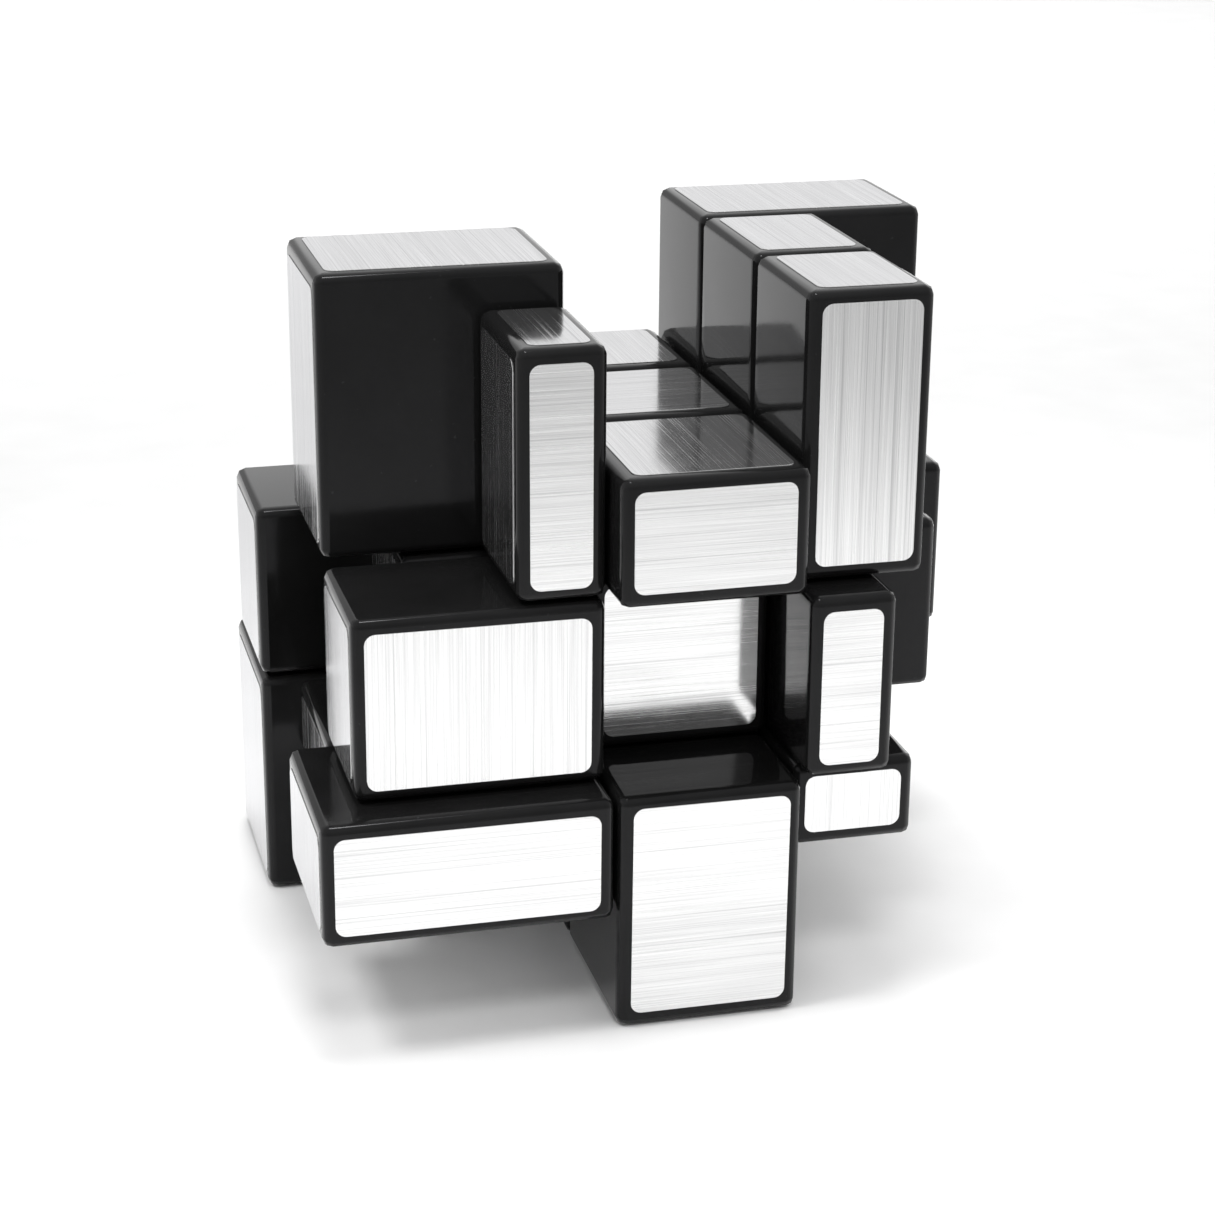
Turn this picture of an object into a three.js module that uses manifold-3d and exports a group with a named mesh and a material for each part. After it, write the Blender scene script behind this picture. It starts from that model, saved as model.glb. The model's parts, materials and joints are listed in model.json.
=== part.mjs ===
// Scrambled twisty puzzle cube whose layers have different thicknesses.
// Millimetres, +Z up, front towards -Y, the cube's core above the origin.
import * as THREE from 'three';
import { RoundedBoxGeometry } from 'three/addons/geometries/RoundedBoxGeometry.js';
import { mergeVertices } from 'three/addons/utils/BufferGeometryUtils.js';
import Module from 'manifold-3d';

const wasm = await Module();
wasm.setup();

// Driving dimensions
const MIDDLE_HALF = 9.5;        // half thickness of every middle layer
const THIN_X = 9;               // solved layer thicknesses, in three opposite pairs
const THICK_X = 29;
const THIN_Y = 13;
const THICK_Y = 25;
const THIN_Z = 17;
const THICK_Z = 21;
const CORE_CUT_HALF = 6;        // half width of the inner cut, inside the turning track
const TRACK_RADIUS = 17;        // radius of the round track the feet slide in
const CLEARANCE = 0.3;          // running gap between neighbouring pieces
const EDGE_RADIUS = 1.0;        // rounding of the outer edges
const WALL = 1.8;               // shell wall
const TRACK_SIDES = 36;         // facets of the round track
const CORE_CENTRE = [0, -4, 34.5];

// Hardware inside each centre piece, as heights along its axis from the core's centre
const POST_RADIUS = 3.4;
const POST_TOP = 7.9;
const POCKET_RADIUS = 3.8;
const WEB_BOTTOM = 8.3;
const WEB_TOP = 9.8;
const SPRING_BOTTOM = 9.9;
const SPRING_TOP = 13.1;
const SPRING_RADIUS = 2.2;
const SPRING_WIRE = 0.3;
const SPRING_TURNS = 3.5;
const WASHER_BOTTOM = 13.2;
const WASHER_TOP = 13.8;
const WASHER_RADIUS = 2.7;
const HEAD_BOTTOM = 13.9;
const HEAD_TOP = 15.7;
const HEAD_RADIUS = 2.5;
const SHANK_RADIUS = 0.85;
const SHANK_END = 2.6;
const CHAMBER_RADIUS = 3.9;
const BODY_TOP = 16.9;          // top of a centre's body, under its cap
const CAP_BOTTOM = 17.1;

// Which solved face each direction of each place shows now.
const FACE = { a: THIN_X, A: THICK_X, b: THIN_Y, B: THICK_Y, c: THIN_Z, C: THICK_Z };
const DIRECTION = {
  up: [0, 0, 1], down: [0, 0, -1], left: [-1, 0, 0],
  right: [1, 0, 0], front: [0, -1, 0], back: [0, 1, 0],
};
const CENTRES = { up: 'b', down: 'B', left: 'c', right: 'C', front: 'a', back: 'A' };
const EDGES = {
  up_left: 'AB', up_right: 'Ab', up_front: 'bC', up_back: 'bc',
  front_left: 'cB', front_right: 'Ca', back_left: 'cA', back_right: 'CA',
  down_left: 'aB', down_right: 'ab', down_front: 'BC', down_back: 'ac',
};
const CORNERS = {
  up_front_left: 'Bca', up_front_right: 'Acb', up_back_left: 'aCb', up_back_right: 'AcB',
  down_front_left: 'bCA', down_front_right: 'acb', down_back_left: 'BCA', down_back_right: 'BCa',
};

const half = CLEARANCE / 2;
const PLASTIC = { color: 0x151517, roughness: 0.25, metalness: 0.0 };
const CORE_PLASTIC = { color: 0x303236, roughness: 0.5, metalness: 0.0 };
const STEEL = { color: 0xb8babd, roughness: 0.35, metalness: 1.0 };

// Turn a three.js geometry into a solid that can be joined and cut.
function solid(geometry) {
  const bare = new THREE.BufferGeometry();
  bare.setAttribute('position', geometry.getAttribute('position'));
  if (geometry.index) bare.setIndex(geometry.index);
  const merged = mergeVertices(bare, 1e-5);
  const mesh = new wasm.Mesh({
    numProp: 3,
    vertProperties: new Float32Array(merged.getAttribute('position').array),
    triVerts: new Uint32Array(merged.index.array),
  });
  return new wasm.Manifold(mesh);
}

function box(low, high) {
  const size = high.map((value, i) => value - low[i]);
  const geometry = new THREE.BoxGeometry(...size);
  geometry.translate(...low.map((value, i) => value + size[i] / 2));
  return solid(geometry);
}

function roundedBox(low, high) {
  const size = high.map((value, i) => value - low[i]);
  const geometry = new RoundedBoxGeometry(...size, 1, EDGE_RADIUS);
  geometry.translate(...low.map((value, i) => value + size[i] / 2));
  return solid(geometry);
}

// A cylinder of the given span on axis 0, 1 or 2.
function cylinder(radius, low, high, axis = 2, sides = 16) {
  const geometry = new THREE.CylinderGeometry(radius, radius, high - low, sides);
  geometry.translate(0, (low + high) / 2, 0);
  geometry.rotateY(Math.PI / sides);
  if (axis === 0) geometry.rotateZ(-Math.PI / 2);
  if (axis === 2) geometry.rotateX(Math.PI / 2);
  return solid(geometry);
}

// The cut surfaces of one axis. Both kinds share the same stepped, round track.
const REACH = 60;
const outerTrack = (TRACK_RADIUS + half) / Math.cos(Math.PI / TRACK_SIDES);
const innerTrack = TRACK_RADIUS - half;

function slab(axis, low, high) {
  const from = [-REACH, -REACH, -REACH];
  const to = [REACH, REACH, REACH];
  from[axis] = low;
  to[axis] = high;
  return box(from, to);
}

function middleRegion(axis) {
  const track = cylinder(outerTrack, -REACH, REACH, axis, TRACK_SIDES);
  const wide = slab(axis, -MIDDLE_HALF + half, MIDDLE_HALF - half).subtract(track);
  return wide.add(slab(axis, -CORE_CUT_HALF + half, CORE_CUT_HALF - half));
}

function outerRegion(axis, sign) {
  const start = CORE_CUT_HALF + half;
  const end = MIDDLE_HALF + 1;
  const ends = [sign * start, sign * end].sort((m, n) => m - n);
  const foot = cylinder(innerTrack, ends[0], ends[1], axis, TRACK_SIDES);
  const face = MIDDLE_HALF + half;
  const block = sign > 0 ? slab(axis, face, REACH) : slab(axis, -REACH, -face);
  return block.add(foot);
}

const middle = [0, 1, 2].map(middleRegion);
const outer = [0, 1, 2].map((axis) => ({ 1: outerRegion(axis, 1), '-1': outerRegion(axis, -1) }));

// Signed direction and outward reach of a place, read from its name and its letters.
function describe(place, letters) {
  const sign = [0, 0, 0];
  const reach = [MIDDLE_HALF, MIDDLE_HALF, MIDDLE_HALF];
  place.split('_').forEach((word, i) => {
    const axis = DIRECTION[word].findIndex((value) => value !== 0);
    sign[axis] = DIRECTION[word][axis];
    reach[axis] = MIDDLE_HALF + FACE[letters[i]];
  });
  return { sign, reach };
}

function region(sign) {
  const parts = sign.map((s, axis) => (s === 0 ? middle[axis] : outer[axis][s]));
  return parts[0].intersect(parts[1]).intersect(parts[2]);
}

// A span per axis: near..far outwards on signed axes, -width..width on the others.
function spans(sign, near, far, width) {
  const low = [];
  const high = [];
  sign.forEach((s, axis) => {
    const outward = Array.isArray(far) ? far[axis] : far;
    if (s === 0) {
      low.push(-width);
      high.push(width);
    } else {
      low.push(s > 0 ? near : -outward);
      high.push(s > 0 ? outward : -near);
    }
  });
  return [low, high];
}

const sideFace = MIDDLE_HALF - half;
const blockStart = MIDDLE_HALF + half;
const footStart = CORE_CUT_HALF + half;

// Corner: a hollow outer shell, and a solid foot whose stem plugs into it.
function corner(place, letters) {
  const { sign, reach } = describe(place, letters);
  const stem = 13;
  const inside = reach.map((value) => value - WALL);
  const shell = roundedBox(...spans(sign, blockStart, reach, sideFace))
    .subtract(box(...spans(sign, blockStart + WALL, inside, 0)))
    .subtract(box(...spans(sign, 0, stem + 0.2, 0)));
  const foot = region(sign).intersect(box(...spans(sign, 0, stem, 0)));
  return { shell, foot };
}

// Edge: a hollow block on the outer track with a foot that runs in under both centres.
function edge(place, letters) {
  const { sign, reach } = describe(place, letters);
  const axis = sign.indexOf(0);
  const footReach = 15.8;
  const inside = reach.map((value) => value - WALL);
  const block = roundedBox(...spans(sign, blockStart, reach, sideFace)).intersect(middle[axis]);
  const foot = region(sign).intersect(box(...spans(sign, 0, footReach, CORE_CUT_HALF - half)));
  const rim = cylinder(outerTrack + WALL, -REACH, REACH, axis, TRACK_SIDES);
  const hollow = box(...spans(sign, blockStart + WALL, inside, sideFace - WALL)).subtract(rim);
  const shaft = box(...spans(sign, footStart + WALL, 15, CORE_CUT_HALF - half - WALL));
  const drain = spans(sign, footStart + WALL + 0.6, 12, 1.6);
  const down = sign.findIndex((value) => value !== 0);
  drain[0][down] = sign[down] > 0 ? footStart - 1 : -(footStart + WALL + 1);
  drain[1][down] = sign[down] > 0 ? footStart + WALL + 1 : -(footStart - 1);
  return block.add(foot).subtract(hollow).subtract(shaft).subtract(box(...drain));
}

// Centre pieces and their hardware are drawn on +Z and then turned to their direction.
function centreBody() {
  const upright = [0, 0, 1];
  const top = box([-sideFace, -sideFace, 0], [sideFace, sideFace, BODY_TOP]);
  let body = region(upright).intersect(top);
  body = body.subtract(cylinder(POCKET_RADIUS, 0, WEB_BOTTOM));
  body = body.subtract(cylinder(SHANK_RADIUS + 0.4, WEB_BOTTOM - 1, WEB_TOP + 1, 2, 12));
  body = body.subtract(cylinder(CHAMBER_RADIUS, WEB_TOP, BODY_TOP + 1));
  for (const [x, y] of [[1, 1], [-1, 1], [-1, -1], [1, -1]]) {
    const hole = box([-0.8, -0.8, 12], [0.8, 0.8, BODY_TOP + 1]);
    body = body.subtract(hole.translate([x * 7.2, y * 7.2, 0]));
  }
  return body;
}

function centreCap(top) {
  let cap = roundedBox([-sideFace, -sideFace, CAP_BOTTOM - 5], [sideFace, sideFace, top]);
  const trim = box([-REACH, -REACH, 0], [REACH, REACH, CAP_BOTTOM]);
  cap = cap.subtract(trim);
  const hollowTop = top - WALL;
  if (hollowTop > CAP_BOTTOM + 1) {
    const inner = sideFace - WALL;
    cap = cap.subtract(box([-inner, -inner, CAP_BOTTOM - 1], [inner, inner, hollowTop]));
  }
  for (const [x, y] of [[1, 1], [-1, 1], [-1, -1], [1, -1]]) {
    const peg = box([-0.6, -0.6, 16.1], [0.6, 0.6, CAP_BOTTOM + 0.7]);
    cap = cap.add(peg.translate([x * 7.2, y * 7.2, 0]));
  }
  return cap;
}

function screw() {
  const shank = cylinder(SHANK_RADIUS, SHANK_END, HEAD_BOTTOM + 0.2, 2, 10);
  const head = cylinder(HEAD_RADIUS, HEAD_BOTTOM, HEAD_TOP, 2, 16);
  const slotA = box([-1.5, -0.3, HEAD_TOP - 0.9], [1.5, 0.3, HEAD_TOP + 1]);
  const slotB = box([-0.3, -1.5, HEAD_TOP - 0.9], [0.3, 1.5, HEAD_TOP + 1]);
  return shank.add(head).subtract(slotA).subtract(slotB);
}

function washer() {
  const disc = cylinder(WASHER_RADIUS, WASHER_BOTTOM, WASHER_TOP, 2, 16);
  const hole = cylinder(SHANK_RADIUS + 0.4, WASHER_BOTTOM - 1, WASHER_TOP + 1, 2, 12);
  return disc.subtract(hole);
}

class Coil extends THREE.Curve {
  getPoint(t, target = new THREE.Vector3()) {
    const angle = t * SPRING_TURNS * 2 * Math.PI;
    const low = SPRING_BOTTOM + SPRING_WIRE;
    const high = SPRING_TOP - SPRING_WIRE;
    return target.set(
      SPRING_RADIUS * Math.cos(angle),
      SPRING_RADIUS * Math.sin(angle),
      low + (high - low) * t,
    );
  }
}

function spring() {
  const wire = new THREE.Shape();
  wire.absarc(0, 0, SPRING_WIRE, 0, 2 * Math.PI, false);
  const geometry = new THREE.ExtrudeGeometry(wire, {
    steps: 36, curveSegments: 3, bevelEnabled: false, extrudePath: new Coil(),
  });
  return solid(geometry);
}

// Six bosses on a small block, each with a hole for a screw.
function core() {
  const side = CORE_CUT_HALF - half - 0.85;
  let body = box([-side, -side, -side], [side, side, side]);
  for (const axis of [0, 1, 2]) {
    body = body.add(cylinder(POST_RADIUS, -POST_TOP, POST_TOP, axis));
  }
  for (const axis of [0, 1, 2]) {
    body = body.subtract(cylinder(SHANK_RADIUS + 0.3, SHANK_END - 0.4, POST_TOP + 1, axis, 10));
    body = body.subtract(cylinder(SHANK_RADIUS + 0.3, -POST_TOP - 1, -SHANK_END + 0.4, axis, 10));
  }
  return body;
}

const group = new THREE.Group();

function addPiece(name, shape, look, direction = [0, 0, 1]) {
  const mesh = shape.getMesh();
  const geometry = new THREE.BufferGeometry();
  geometry.setAttribute('position', new THREE.BufferAttribute(mesh.vertProperties, 3));
  geometry.setIndex(new THREE.BufferAttribute(mesh.triVerts, 1));
  const up = new THREE.Vector3(0, 0, 1);
  const turn = new THREE.Quaternion().setFromUnitVectors(up, new THREE.Vector3(...direction));
  geometry.applyQuaternion(turn);
  geometry.translate(...CORE_CENTRE);
  geometry.computeVertexNormals();
  const piece = new THREE.Mesh(geometry, new THREE.MeshStandardMaterial(look));
  piece.name = name;
  group.add(piece);
}

addPiece('core', core(), CORE_PLASTIC);
for (const [place, letter] of Object.entries(CENTRES)) {
  const direction = DIRECTION[place];
  addPiece(`screw_${place}`, screw(), STEEL, direction);
  addPiece(`washer_${place}`, washer(), STEEL, direction);
  addPiece(`spring_${place}`, spring(), STEEL, direction);
  addPiece(`centre_${place}_body`, centreBody(), PLASTIC, direction);
  addPiece(`centre_${place}_cap`, centreCap(MIDDLE_HALF + FACE[letter]), PLASTIC, direction);
}
for (const [place, letters] of Object.entries(EDGES)) {
  addPiece(`edge_${place}`, edge(place, letters), PLASTIC);
}
for (const [place, letters] of Object.entries(CORNERS)) {
  const { shell, foot } = corner(place, letters);
  addPiece(`corner_${place}_shell`, shell, PLASTIC);
  addPiece(`corner_${place}_foot`, foot, PLASTIC);
}

export default group;
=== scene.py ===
import json
import math
import random
import bmesh
import bpy
from mathutils import Matrix, Vector

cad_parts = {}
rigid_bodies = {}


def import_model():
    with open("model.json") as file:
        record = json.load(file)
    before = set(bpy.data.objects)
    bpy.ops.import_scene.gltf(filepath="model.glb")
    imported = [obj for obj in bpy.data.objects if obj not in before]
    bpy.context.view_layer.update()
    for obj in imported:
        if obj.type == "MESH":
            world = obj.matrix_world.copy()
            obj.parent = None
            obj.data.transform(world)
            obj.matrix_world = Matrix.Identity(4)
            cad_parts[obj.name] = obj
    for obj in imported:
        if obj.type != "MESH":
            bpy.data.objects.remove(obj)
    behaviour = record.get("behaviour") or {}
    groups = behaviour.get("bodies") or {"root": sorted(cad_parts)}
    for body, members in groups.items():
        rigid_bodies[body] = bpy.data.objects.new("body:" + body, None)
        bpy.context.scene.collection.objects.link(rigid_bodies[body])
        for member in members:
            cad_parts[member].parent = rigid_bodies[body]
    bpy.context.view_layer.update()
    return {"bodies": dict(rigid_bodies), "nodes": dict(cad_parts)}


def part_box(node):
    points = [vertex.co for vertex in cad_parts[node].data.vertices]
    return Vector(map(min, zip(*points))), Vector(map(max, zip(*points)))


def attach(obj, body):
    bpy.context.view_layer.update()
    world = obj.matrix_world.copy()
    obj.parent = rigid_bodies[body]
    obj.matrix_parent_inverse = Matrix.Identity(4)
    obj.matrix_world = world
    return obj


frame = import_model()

# Shared sizes, in metres
CORE = Vector((0.0, -0.004, 0.0345))    # the core's centre
MIDDLE_HALF = 0.0095    # half of the middle layer
CLEARANCE = 0.0003      # between two blocks
SIDE = MIDDLE_HALF - CLEARANCE / 2      # half width of a middle block
START = MIDDLE_HALF + CLEARANCE / 2     # where an outer block starts, from the core's centre
LABEL_INSET = 0.00135   # from a label's edge to the side of its block
LABEL_RADIUS = 0.00108  # of a label's corners
LABEL_THICK = 0.00007
LABEL_GAP = 0.00001     # keeps a label's back clear of the block
LABEL_LIP = 0.00003     # the rounding along a label's upper edge
LABEL_DRIFT = 0.00015   # how far a label may lie off its face's middle
LABEL_SKEW = 0.3        # how far it may be turned, in degrees
LABEL_STEPS = 6         # straight pieces in a label's rounded corner
FOIL_SPREAD = 400       # how far apart the labels are cut from the roll of foil, in mm
FOIL_MAP = "foil"
MM = 1000               # millimetres in a metre
FLOOR_HALF = 4.0
FLOOR_LEVEL = -(LABEL_THICK + 3 * LABEL_GAP)    # just under the lowest labels

# Shading of the CAD solids
WELD_DISTANCE = 2e-6
SHARP_ANGLE = math.radians(50)

DIRECTION = {
    "up": (0, 0, 1), "down": (0, 0, -1), "left": (-1, 0, 0),
    "right": (1, 0, 0), "front": (0, -1, 0), "back": (0, 1, 0),
}


# ---------------------------------------------------------------- materials

class Nodes:
    """Small helper that adds and links shader nodes."""

    def __init__(self, name):
        self.material = bpy.data.materials.new(name)
        self.material.use_nodes = True
        self.tree = self.material.node_tree
        self.tree.nodes.clear()
        output = self.add("ShaderNodeOutputMaterial")
        self.shader = self.add("ShaderNodeBsdfPrincipled")
        self.link(self.shader, "BSDF", output, "Surface")

    def add(self, kind, **settings):
        node = self.tree.nodes.new(kind)
        for key, value in settings.items():
            setattr(node, key, value)
        return node

    def link(self, source, out, target, into):
        self.tree.links.new(source.outputs[out], target.inputs[into])

    def set(self, **values):
        for key, value in values.items():
            self.shader.inputs[key.replace("_", " ")].default_value = value

    def coords(self, scale=(1, 1, 1), kind="Object"):
        place = self.add("ShaderNodeTexCoord")
        mapping = self.add("ShaderNodeMapping")
        mapping.inputs["Scale"].default_value = scale
        self.link(place, kind, mapping, "Vector")
        return mapping

    def noise(self, mapping, scale, detail, rough=0.5):
        node = self.add("ShaderNodeTexNoise")
        node.inputs["Scale"].default_value = scale
        node.inputs["Detail"].default_value = detail
        node.inputs["Roughness"].default_value = rough
        self.link(mapping, "Vector", node, "Vector")
        return node

    def foil_noise(self, across, along, detail, rough):
        """Noise on the foil's map, with so many waves per mm across its brushing and along it."""
        mapping = self.coords((across, along, 1), "UV")
        return self.noise(mapping, scale=1.0, detail=detail, rough=rough)

    def ramp(self, source, out, stops):
        """Colour ramp between two stops, each a place and a colour."""
        node = self.add("ShaderNodeValToRGB")
        for element, (place, value) in zip(node.color_ramp.elements, stops):
            element.position = place
            element.color = (*value, 1)
        self.link(source, out, node, "Fac")
        return node

    def math(self, operation, *items):
        """Maths node whose inputs are numbers or (node, output name) pairs."""
        node = self.add("ShaderNodeMath", operation=operation)
        for i, item in enumerate(items):
            if isinstance(item, tuple):
                self.link(item[0], item[1], node, i)
            else:
                node.inputs[i].default_value = item
        return node

    def mix(self, factor, colour_a, colour_b):
        """Mixes the colour output of colour_a with a plain colour, and makes it the base colour."""
        node = self.add("ShaderNodeMix", data_type="RGBA")
        node.inputs["B"].default_value = (*colour_b, 1)
        self.link(factor, "Value", node, "Factor")
        self.link(colour_a, "Color", node, "A")
        self.link(node, "Result", self.shader, "Base Color")

    def bump(self, height, out, strength, distance):
        node = self.add("ShaderNodeBump")
        node.inputs["Strength"].default_value = strength
        node.inputs["Distance"].default_value = distance
        self.link(height, out, node, "Height")
        self.link(node, "Normal", self.shader, "Normal")


def grey(value):
    return (value, value, value)


def black_gloss():
    """Glossy moulded plastic with a faint grain, finger smudges, dust and slightly worn edges."""
    nodes = Nodes("black_gloss_plastic")
    nodes.set(IOR=1.5, Metallic=0.0, Specular_Tint=(0.34, 0.34, 0.35, 1))
    place = nodes.coords()
    cloud = nodes.noise(place, scale=120.0, detail=4.0)
    tint = nodes.ramp(cloud, "Fac", [(0.3, grey(0.0060)), (0.75, grey(0.0090))])
    dust = nodes.noise(place, scale=1400.0, detail=2.0)
    speck = nodes.ramp(dust, "Fac", [(0.72, grey(0.0)), (0.80, grey(0.35))])
    shape = nodes.add("ShaderNodeNewGeometry")
    patch = nodes.noise(place, scale=260.0, detail=5.0, rough=0.7)
    edge = nodes.ramp(shape, "Pointiness", [(0.54, grey(0.0)), (0.68, grey(1.0))])
    worn = nodes.math("MULTIPLY", (edge, "Color"), (patch, "Fac"))
    marks = nodes.math("MULTIPLY_ADD", (worn, "Value"), 0.35, (speck, "Color"))
    nodes.mix(marks, tint, (0.045, 0.045, 0.047))
    smudge = nodes.noise(place, scale=55.0, detail=6.0, rough=0.65)
    gloss = nodes.ramp(smudge, "Fac", [(0.38, grey(0.045)), (0.72, grey(0.11))])
    rough = nodes.math("MULTIPLY_ADD", (worn, "Value"), 0.25, (gloss, "Color"))
    nodes.link(rough, "Value", nodes.shader, "Roughness")
    skin = nodes.noise(place, scale=1900.0, detail=3.0)
    nodes.bump(skin, "Fac", strength=0.08, distance=0.00003)
    return nodes.material


def core_plastic():
    """Matt moulded plastic with a fine grain."""
    nodes = Nodes("core_matte_plastic")
    nodes.set(IOR=1.46)
    place = nodes.coords()
    cloud = nodes.noise(place, scale=300.0, detail=4.0)
    tint = nodes.ramp(cloud, "Fac", [(0.3, (0.035, 0.036, 0.04)), (0.7, (0.055, 0.056, 0.06))])
    nodes.link(tint, "Color", nodes.shader, "Base Color")
    rough = nodes.ramp(cloud, "Fac", [(0.3, grey(0.45)), (0.7, grey(0.6))])
    nodes.link(rough, "Color", nodes.shader, "Roughness")
    grain = nodes.noise(place, scale=2500.0, detail=2.0)
    nodes.bump(grain, "Fac", strength=0.2, distance=0.00005)
    return nodes.material


def steel():
    """Plated steel, slightly cloudy."""
    nodes = Nodes("plated_steel")
    nodes.set(Metallic=1.0)
    place = nodes.coords()
    cloud = nodes.noise(place, scale=700.0, detail=4.0)
    tint = nodes.ramp(cloud, "Fac", [(0.3, (0.5, 0.5, 0.52)), (0.7, (0.66, 0.66, 0.67))])
    nodes.link(tint, "Color", nodes.shader, "Base Color")
    rough = nodes.ramp(cloud, "Fac", [(0.3, grey(0.25)), (0.7, grey(0.42))])
    nodes.link(rough, "Color", nodes.shader, "Roughness")
    nodes.bump(cloud, "Fac", strength=0.1, distance=0.00005)
    return nodes.material


def brushed_foil():
    """Silver mirror foil. Its map is in mm: V runs along the brushing and U across it."""
    nodes = Nodes("brushed_silver_foil")
    nodes.set(Metallic=0.97, Anisotropic=0.5, IOR=1.45, Specular_Tint=(0.85, 0.85, 0.86, 1))
    fine = nodes.foil_noise(across=9.0, along=0.022, detail=3.0, rough=0.65)
    broad = nodes.foil_noise(across=1.1, along=0.008, detail=3.0, rough=0.6)
    hair = nodes.foil_noise(across=12.0, along=0.07, detail=2.0, rough=0.5)
    line = nodes.foil_noise(across=5.6, along=0.007, detail=2.0, rough=0.5)
    hairs = nodes.math("MULTIPLY", (hair, "Fac"), 0.35)
    coarse = nodes.math("MULTIPLY_ADD", (broad, "Fac"), 0.17, (hairs, "Value"))
    streak = nodes.math("MULTIPLY_ADD", (fine, "Fac"), 0.48, (coarse, "Value"))
    tint = nodes.ramp(streak, "Value", [(0.38, grey(0.66)), (0.60, grey(0.91))])
    cut = nodes.ramp(line, "Fac", [(0.59, grey(0.0)), (0.67, grey(0.34))])
    spot = nodes.foil_noise(across=1.6, along=1.2, detail=3.0, rough=0.6)
    nick = nodes.ramp(spot, "Fac", [(0.74, grey(0.0)), (0.80, grey(0.45))])
    marks = nodes.math("MAXIMUM", (cut, "Color"), (nick, "Color"))
    nodes.mix(marks, tint, (0.33, 0.33, 0.34))
    smear = nodes.foil_noise(across=0.12, along=0.10, detail=4.0, rough=0.6)
    film = nodes.ramp(smear, "Fac", [(0.40, grey(0.0)), (0.75, grey(0.05))])
    base = nodes.ramp(streak, "Value", [(0.34, grey(0.125)), (0.62, grey(0.075))])
    smooth = nodes.math("ADD", (base, "Color"), (film, "Color"))
    glint = nodes.ramp(fine, "Fac", [(0.54, grey(0.0)), (0.64, grey(0.19))])
    rough = nodes.math("ADD", (smooth, "Value"), (glint, "Color"))
    nodes.link(rough, "Value", nodes.shader, "Roughness")
    across = nodes.add("ShaderNodeTangent", direction_type="UV_MAP", uv_map=FOIL_MAP)
    nodes.link(across, "Tangent", nodes.shader, "Tangent")
    nodes.bump(line, "Fac", strength=0.05, distance=0.00003)
    return nodes.material


BLACK = black_gloss()
CORE_PLASTIC = core_plastic()
STEEL = steel()
FOIL = brushed_foil()


def finish_for(node):
    """The material of a CAD node, from its name."""
    if node == "core":
        return CORE_PLASTIC
    if node.startswith(("screw", "washer", "spring")):
        return STEEL
    return BLACK


def dress(obj, material):
    """Gives a CAD solid its material. It keeps its shape: the modifiers only smooth its shading."""
    obj.data.materials.clear()
    obj.data.materials.append(material)
    for polygon in obj.data.polygons:
        polygon.use_smooth = True
    weld = obj.modifiers.new("weld", "WELD")
    weld.merge_threshold = WELD_DISTANCE
    split = obj.modifiers.new("split", "EDGE_SPLIT")
    split.split_angle = SHARP_ANGLE
    shade = obj.modifiers.new("shade", "WEIGHTED_NORMAL")
    shade.keep_sharp = True
    shade.weight = 100


for name, obj in frame["nodes"].items():
    dress(obj, finish_for(name))


# ---------------------------------------------------------------- foil labels

def rounded_outline(width, height, radius):
    """Points round a rectangle with rounded corners."""
    points = []
    for corner, (sx, sy) in enumerate(((1, 1), (-1, 1), (-1, -1), (1, -1))):
        cx = sx * (width / 2 - radius)
        cy = sy * (height / 2 - radius)
        for i in range(LABEL_STEPS + 1):
            angle = math.pi / 2 * (corner + i / LABEL_STEPS)
            points.append((cx + radius * math.cos(angle), cy + radius * math.sin(angle)))
    return points


def add_object(name, shape, material):
    """Makes an object from a bmesh and frees the bmesh."""
    mesh = bpy.data.meshes.new(name)
    shape.to_mesh(mesh)
    shape.free()
    mesh.materials.append(material)
    obj = bpy.data.objects.new(name, mesh)
    bpy.context.scene.collection.objects.link(obj)
    return obj


def label_shape(width, height):
    """A thin sheet with rounded corners and a small lip round its upper face."""
    low = rounded_outline(width, height, LABEL_RADIUS)
    high = rounded_outline(width - 2 * LABEL_LIP, height - 2 * LABEL_LIP, LABEL_RADIUS - LABEL_LIP)
    shape = bmesh.new()
    rings = []
    for outline, level in ((low, 0.0), (low, LABEL_THICK - LABEL_LIP), (high, LABEL_THICK)):
        rings.append([shape.verts.new((x, y, level)) for x, y in outline])
    count = len(low)
    for under, over in zip(rings, rings[1:]):
        for i in range(count):
            j = (i + 1) % count
            shape.faces.new((under[i], under[j], over[j], over[i]))
    shape.faces.new(rings[-1])
    shape.faces.new(list(reversed(rings[0])))
    return shape


def label(name, centre, normal, along, width, height):
    """A thin foil label: width runs along its brushing, its face looks along normal."""
    obj = add_object(name, label_shape(width, height), FOIL)
    mesh = obj.data
    picker = random.Random(name)
    shift = (picker.uniform(0, FOIL_SPREAD), picker.uniform(0, FOIL_SPREAD))
    layer = mesh.uv_layers.new(name=FOIL_MAP)
    for loop in mesh.loops:
        point = mesh.vertices[loop.vertex_index].co * MM
        layer.data[loop.index].uv = (point.y + shift[0], point.x + shift[1])
    across = normal.cross(along)
    turn = Matrix((along, across, normal)).transposed().to_4x4()
    skew = Matrix.Rotation(math.radians(picker.uniform(-LABEL_SKEW, LABEL_SKEW)), 4, "Z")
    obj.matrix_world = Matrix.Translation(centre) @ turn @ skew
    return obj


# Labels brushed along X, Y and Z. The brushing of the others is picked at random.
BRUSHED_X = ("up_front_left_front up_front_front front front_right_front down_front_left_front "
             "down_front_front up")
BRUSHED_Y = ("up_left_up up_front_left_up up_front_up up_front_right_up up_right_up "
             "up_back_right_up up_back_up")
BRUSHED_Z = ("up_front_right_front front_left_front down_front_right_front up_left_left "
             "back_left_left down_back_left_left up_front_left_left front_left_left")
BRUSHED = [words.split() for words in (BRUSHED_X, BRUSHED_Y, BRUSHED_Z)]


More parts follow.
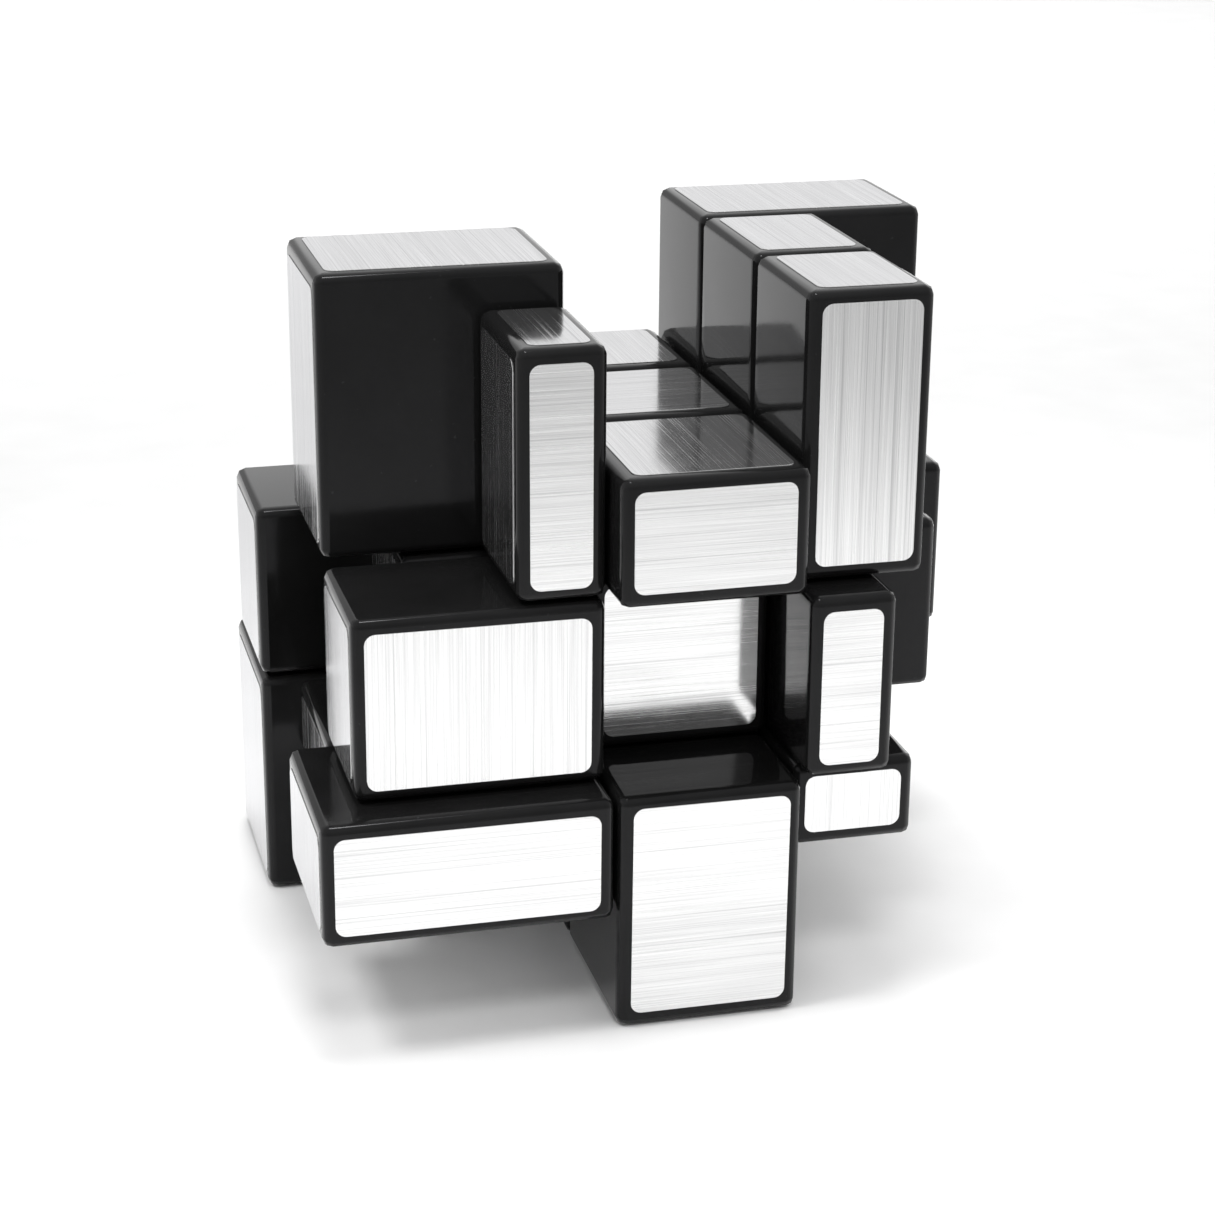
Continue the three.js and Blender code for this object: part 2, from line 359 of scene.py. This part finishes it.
def brush_axis(label_place, normal_axis):
    """The axis that a label's brushing runs along: 0, 1 or 2 for X, Y or Z."""
    for axis, places in enumerate(BRUSHED):
        if label_place in places:
            return axis
    others = [axis for axis in range(3) if axis != normal_axis]
    return random.Random(label_place).choice(others)


def block_box(place, reach_box):
    """Low and high corner of a piece's outer block."""
    sign = [0, 0, 0]
    for word in place.split("_"):
        for axis in range(3):
            sign[axis] += DIRECTION[word][axis]
    low, high = Vector(), Vector()
    for axis in range(3):
        if sign[axis] > 0:
            low[axis], high[axis] = CORE[axis] + START, reach_box[1][axis]
        elif sign[axis] < 0:
            low[axis], high[axis] = reach_box[0][axis], CORE[axis] - START
        else:
            low[axis], high[axis] = CORE[axis] - SIDE, CORE[axis] + SIDE
    return low, high


def add_labels(place, node, body):
    """One label on each outer face of a piece, riding on the piece's body."""
    low, high = block_box(place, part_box(node))
    faces = place.split("_")
    for face in faces:
        label_place = place if len(faces) == 1 else f"{place}_{face}"
        normal = Vector(DIRECTION[face])
        normal_axis = [abs(v) > 0.5 for v in normal].index(True)
        brush = brush_axis(label_place, normal_axis)
        along = Vector((0, 0, 0))
        along[brush] = 1.0
        cross_axis = 3 - normal_axis - brush
        size = high - low
        centre = (low + high) / 2
        outer = high if normal[normal_axis] > 0 else low
        centre[normal_axis] = outer[normal_axis] + normal[normal_axis] * LABEL_GAP
        picker = random.Random(label_place + "place")
        for axis in (brush, cross_axis):
            centre[axis] += picker.uniform(-LABEL_DRIFT, LABEL_DRIFT)
        width = size[brush] - 2 * LABEL_INSET
        height = size[cross_axis] - 2 * LABEL_INSET
        piece = label(f"label_{label_place}", centre, normal, along, width, height)
        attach(piece, body)


for body in frame["bodies"]:
    kind, _, place = body.partition("_")
    if kind == "centre":
        add_labels(place, f"centre_{place}_cap", body)
    elif kind == "edge":
        add_labels(place, f"edge_{place}", body)
    elif kind == "corner":
        add_labels(place, f"corner_{place}_shell", body)


# ---------------------------------------------------------------- surroundings

# How bright the surroundings are, and where one brightness fades into the next
FRONT_GLOW = 0.42
BACK_GLOW = 0.98
SIDE_LOW, SIDE_HIGH = -1.0, 0.1
TOP_GLOW = 0.66
TOP_LOW, TOP_HIGH = 0.30, 0.95

# A soft dark flag stands behind the object, to the left
FLAG_DIRECTION = (-0.393, 0.882, 0.259)
FLAG_RIM = math.cos(math.radians(28))
FLAG_CORE = math.cos(math.radians(12))
FLAG_GLOW = 0.45

# Name, place, target, radius, watts, cone in degrees and softness of its rim
KEY_LAMP = ("top", (0.0, -0.02, 0.55), (0.01, -0.06, 0), 0.05, 1.9, 40, 0.6)
POOL_LAMPS = (
    ("left", (-0.30, -0.06, 0.50), (0.02, -0.05, 0), 0.08, 4.7, 38, 0.8),
    ("front", (-0.05, -0.36, 0.50), (0.04, -0.05, 0), 0.08, 3.2, 38, 0.8),
    ("right", (0.28, -0.01, 0.50), (0.02, -0.06, 0), 0.12, 2.3, 40, 0.6),
    ("backlight", (0.0, 0.62, 1.2), (0.0, 0.60, 0), 0.3, 40.0, 70, 0.85),
)


def floor_material():
    """Pale matt floor with a faint mottle."""
    nodes = Nodes("pale_floor")
    nodes.set(IOR=1.45)
    speck = nodes.noise(nodes.coords(), scale=80.0, detail=3.0)
    tint = nodes.ramp(speck, "Fac", [(0.3, grey(0.86)), (0.7, grey(0.89))])
    nodes.link(tint, "Color", nodes.shader, "Base Color")
    rough = nodes.ramp(speck, "Fac", [(0.3, grey(0.45)), (0.7, grey(0.5))])
    nodes.link(rough, "Color", nodes.shader, "Roughness")
    return nodes.material


def make_floor():
    """Plain pale floor under the object."""
    shape = bmesh.new()
    bmesh.ops.create_grid(shape, x_segments=2, y_segments=2, size=FLOOR_HALF)
    obj = add_object("floor", shape, floor_material())
    obj.location.z = FLOOR_LEVEL


class WorldNodes:
    """Small helper that adds and links the world's nodes."""

    def __init__(self, name):
        world = bpy.data.worlds.new(name)
        bpy.context.scene.world = world
        world.use_nodes = True
        self.tree = world.node_tree
        self.tree.nodes.clear()

    def add(self, kind):
        return self.tree.nodes.new(kind)

    def link(self, output, into):
        self.tree.links.new(output, into)

    def fade(self, output, low, high, start, end):
        """Output that goes smoothly from start to end as the given output goes from low to high."""
        node = self.add("ShaderNodeMapRange")
        node.interpolation_type = "SMOOTHSTEP"
        for key, value in (("From Min", low), ("From Max", high), ("To Min", start), ("To Max", end)):
            node.inputs[key].default_value = value
        self.link(output, node.inputs["Value"])
        return node.outputs["Result"]


def make_world():
    """Soft studio surroundings: bright behind the object and overhead, dimmer in front of it."""
    sky = WorldNodes("studio")
    direction = sky.add("ShaderNodeTexCoord").outputs["Generated"]
    split = sky.add("ShaderNodeSeparateXYZ")
    sky.link(direction, split.inputs["Vector"])
    side = sky.fade(split.outputs["Y"], SIDE_LOW, SIDE_HIGH, FRONT_GLOW, BACK_GLOW)
    height = sky.fade(split.outputs["Z"], TOP_LOW, TOP_HIGH, 0.0, 1.0)
    blend = sky.add("ShaderNodeMix")
    blend.inputs["B"].default_value = TOP_GLOW
    sky.link(height, blend.inputs["Factor"])
    sky.link(side, blend.inputs["A"])
    flag = sky.add("ShaderNodeVectorMath")
    flag.operation = "DOT_PRODUCT"
    flag.inputs[1].default_value = FLAG_DIRECTION
    sky.link(direction, flag.inputs[0])
    shade = sky.fade(flag.outputs["Value"], FLAG_RIM, FLAG_CORE, 1.0, FLAG_GLOW)
    dimmed = sky.add("ShaderNodeMath")
    dimmed.operation = "MULTIPLY"
    sky.link(blend.outputs["Result"], dimmed.inputs[0])
    sky.link(shade, dimmed.inputs[1])
    back = sky.add("ShaderNodeBackground")
    back.inputs["Color"].default_value = (1, 1, 1, 1)
    sky.link(dimmed.outputs["Value"], back.inputs["Strength"])
    sky.link(back.outputs["Background"], sky.add("ShaderNodeOutputWorld").inputs["Surface"])


def lamp(name, place, target, radius, watts, cone, blend):
    """A round soft lamp whose pool of light fades out at its rim."""
    data = bpy.data.lights.new(name, "SPOT")
    data.shadow_soft_size = radius
    data.energy = watts
    data.spot_size = math.radians(cone)
    data.spot_blend = blend
    obj = bpy.data.objects.new(name, data)
    obj.location = place
    aim = (Vector(target) - Vector(place)).to_track_quat("-Z", "Y")
    obj.rotation_euler = aim.to_euler()
    bpy.context.scene.collection.objects.link(obj)
    return obj


make_floor()
make_world()
lamp(*KEY_LAMP)
for values in POOL_LAMPS:
    # Their light counts, but their own mirror images stay out of the foil
    lamp(*values).visible_glossy = False
bpy.context.scene.view_settings.view_transform = "Standard"


# ---------------------------------------------------------------- camera

# Where the camera stands from the core, in metres, and its azimuth, elevation and roll in degrees
CAMERA_PLACE = Vector((-0.0725, -0.2669, 0.0974))
CAMERA_AZIMUTH = -14.65
CAMERA_ELEVATION = 19.64
CAMERA_ROLL = 0.44
CAMERA_SENSOR = 36.0
CAMERA_ZOOM = 2.269136  # focal length over sensor width
CAMERA_RANGE = (0.01, 20.0)


def make_camera():
    """Camera at the photo's viewing angle."""
    data = bpy.data.cameras.new("camera")
    data.sensor_width = CAMERA_SENSOR
    data.lens = CAMERA_ZOOM * CAMERA_SENSOR
    data.clip_start, data.clip_end = CAMERA_RANGE
    obj = bpy.data.objects.new("camera", data)
    bpy.context.scene.collection.objects.link(obj)
    azimuth = math.radians(CAMERA_AZIMUTH)
    elevation = math.radians(CAMERA_ELEVATION)
    forward = Vector((
        -math.sin(azimuth) * math.cos(elevation),
        math.cos(azimuth) * math.cos(elevation),
        -math.sin(elevation),
    ))
    turn = forward.to_track_quat("-Z", "Y")
    roll = Matrix.Rotation(math.radians(CAMERA_ROLL), 4, "Z").to_quaternion()
    obj.location = CORE + CAMERA_PLACE
    obj.rotation_mode = "QUATERNION"
    obj.rotation_quaternion = turn @ roll
    bpy.context.scene.camera = obj


make_camera()
